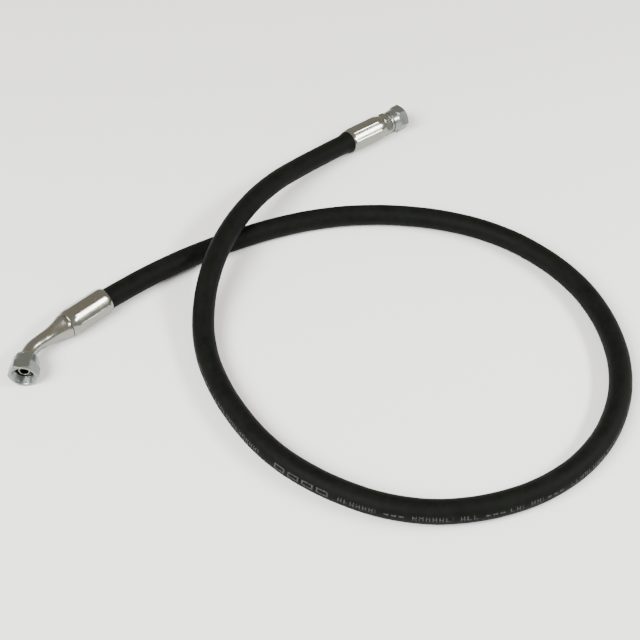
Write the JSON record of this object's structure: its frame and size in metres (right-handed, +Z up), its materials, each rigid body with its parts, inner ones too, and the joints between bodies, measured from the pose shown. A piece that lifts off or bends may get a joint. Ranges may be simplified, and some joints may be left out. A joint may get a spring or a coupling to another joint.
{
  "type": "hydraulic hose assembly",
  "caption": "Black braided rubber hydraulic hose lying in one loop that crosses itself, with a straight swivel fitting at one end and a 45 degree swivel elbow at the other.",
  "frame": {"origin": "on the surface that the hose lies on, under the middle of the box that holds the two end fittings, close to where the hose crosses over itself", "axes": "+X along the straight fitting and out of its nut, +Z up from the surface that the hose lies on, +Y by the right-hand rule"},
  "size_m": [0.4066, 0.371, 0.034],
  "materials": {
    "hose_cover_rubber": "matt black synthetic rubber with a faint helical wrap mark",
    "textile_braid": "woven synthetic yarn",
    "inner_tube_rubber": "smooth oil-resistant black rubber",
    "zinc_plated_steel": "bright zinc plating with a faint yellow-green cast",
    "spring_steel_wire": "drawn wire",
    "seal_rubber": "smooth black nitrile rubber"
  },
  "bodies": {
    "hose": {"hose_cover": "hose_cover_rubber", "hose_textile_braid": "textile_braid", "hose_inner_tube": "inner_tube_rubber", "straight_ferrule": "zinc_plated_steel", "straight_insert": "zinc_plated_steel", "straight_thrust_wire": "spring_steel_wire", "straight_cone_o_ring": "seal_rubber", "elbow_ferrule": "zinc_plated_steel", "elbow_insert": "zinc_plated_steel", "elbow_thrust_wire": "spring_steel_wire", "elbow_cone_o_ring": "seal_rubber"},
    "straight_nut": {"straight_swivel_nut": "zinc_plated_steel"},
    "elbow_nut": {"elbow_swivel_nut": "zinc_plated_steel"}
  },
  "joints": [
    {"name": "straight_nut_swivel", "type": "hinge", "parent": "hose", "child": "straight_nut", "pos_m": [0.1869, 0.032, 0.0105], "axis": [1, 0, 0], "continuous": true},
    {"name": "elbow_nut_swivel", "type": "hinge", "parent": "hose", "child": "elbow_nut", "pos_m": [-0.18519, -0.02258, 0.0105], "axis": [-0.595, -0.8037, 0], "continuous": true}
  ]
}
